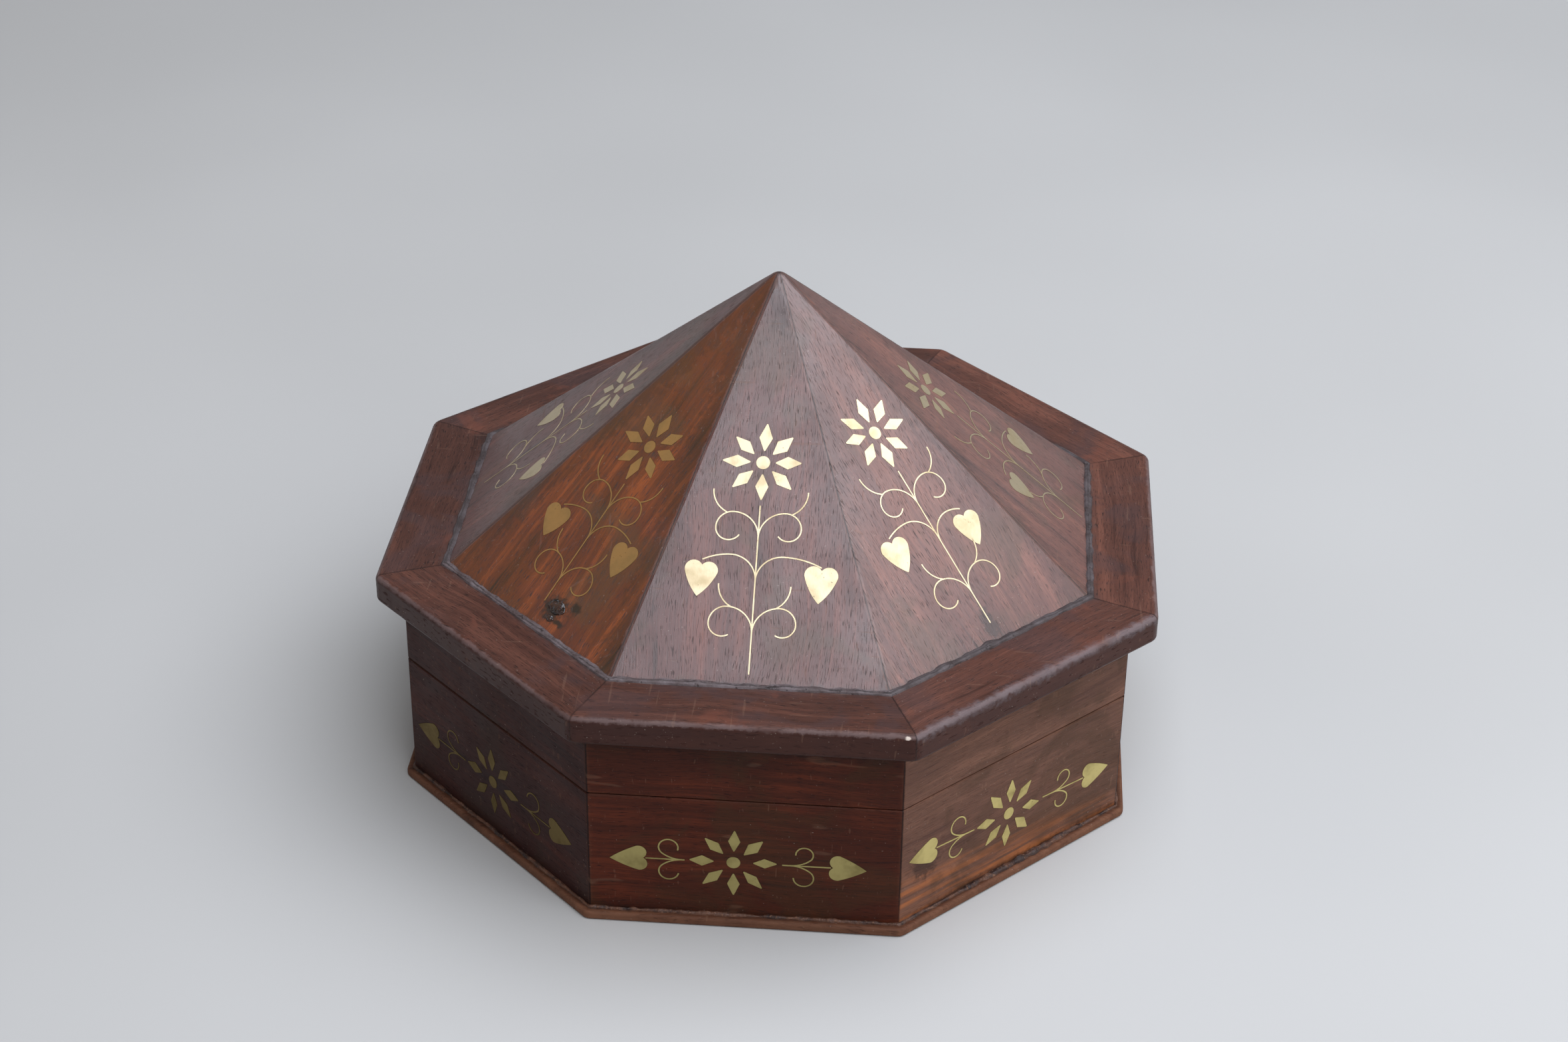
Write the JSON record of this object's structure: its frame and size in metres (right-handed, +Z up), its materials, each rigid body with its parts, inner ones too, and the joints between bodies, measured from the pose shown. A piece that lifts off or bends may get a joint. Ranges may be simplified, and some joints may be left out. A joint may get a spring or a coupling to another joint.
{
  "type": "inlaid wooden box",
  "caption": "Octagonal wooden box with mitred walls, a hinged lid under a hollow pyramid roof with an overhanging moulding, and floral metal inlay on the walls and roof",
  "frame": {"origin": "centre of the base board's underside, on the surface the box stands on", "axes": "+Z up through the point of the roof; -Y is the front wall's outward normal; +Y the hinged back; +X to the right seen from the front"},
  "size_m": [0.21, 0.21, 0.1418],
  "materials": {
    "base_wood": "oiled reddish-brown hardwood board, edges rubbed orange-brown",
    "wall_wood": "dark reddish-brown hardwood, grain along the wall, semi-gloss lacquer",
    "moulding_wood": "reddish-brown hardwood, rounded edge, semi-gloss lacquer",
    "roof_wood": "reddish-brown hardwood with dark pores, grain up the slope, semi-gloss lacquer",
    "brass_inlay": "sheet and flat-wire brass let into the wood, sanded flush and dull",
    "hinge_brass": "plain drawn brass, slightly tarnished",
    "lining": "short-pile dark red felt, glued down"
  },
  "bodies": {
    "base": {"base_board": "base_wood", "floor_lining": "lining", "base_wall_front": "wall_wood", "base_inlay_front": "brass_inlay", "base_wall_front_right": "wall_wood", "base_inlay_front_right": "brass_inlay", "base_wall_right": "wall_wood", "base_inlay_right": "brass_inlay", "base_wall_back_right": "wall_wood", "base_inlay_back_right": "brass_inlay", "base_wall_back": "wall_wood", "base_inlay_back": "brass_inlay", "base_wall_back_left": "wall_wood", "base_inlay_back_left": "brass_inlay", "base_wall_left": "wall_wood", "base_inlay_left": "brass_inlay", "base_wall_front_left": "wall_wood", "base_inlay_front_left": "brass_inlay", "hinge_left_base_leaf": "hinge_brass", "hinge_left_pin": "hinge_brass", "hinge_right_base_leaf": "hinge_brass", "hinge_right_pin": "hinge_brass", "base_hinge_screws": "hinge_brass"},
    "lid": {"lid_wall_front": "wall_wood", "lid_moulding_front": "moulding_wood", "roof_panel_front": "roof_wood", "roof_inlay_front": "brass_inlay", "lid_wall_front_right": "wall_wood", "lid_moulding_front_right": "moulding_wood", "roof_panel_front_right": "roof_wood", "roof_inlay_front_right": "brass_inlay", "lid_wall_right": "wall_wood", "lid_moulding_right": "moulding_wood", "roof_panel_right": "roof_wood", "roof_inlay_right": "brass_inlay", "lid_wall_back_right": "wall_wood", "lid_moulding_back_right": "moulding_wood", "roof_panel_back_right": "roof_wood", "roof_inlay_back_right": "brass_inlay", "lid_wall_back": "wall_wood", "lid_moulding_back": "moulding_wood", "roof_panel_back": "roof_wood", "roof_inlay_back": "brass_inlay", "lid_wall_back_left": "wall_wood", "lid_moulding_back_left": "moulding_wood", "roof_panel_back_left": "roof_wood", "roof_inlay_back_left": "brass_inlay", "lid_wall_left": "wall_wood", "lid_moulding_left": "moulding_wood", "roof_panel_left": "roof_wood", "roof_inlay_left": "brass_inlay", "lid_wall_front_left": "wall_wood", "lid_moulding_front_left": "moulding_wood", "roof_panel_front_left": "roof_wood", "roof_inlay_front_left": "brass_inlay", "hinge_left_lid_leaf": "hinge_brass", "hinge_right_lid_leaf": "hinge_brass", "lid_hinge_screws": "hinge_brass"}
  },
  "joints": [
    {"name": "lid_hinge", "type": "hinge", "parent": "base", "child": "lid", "pos_m": [0, 0.0999, 0.03935], "axis": [-1, 0, 0], "range_deg": [0, 105]}
  ]
}
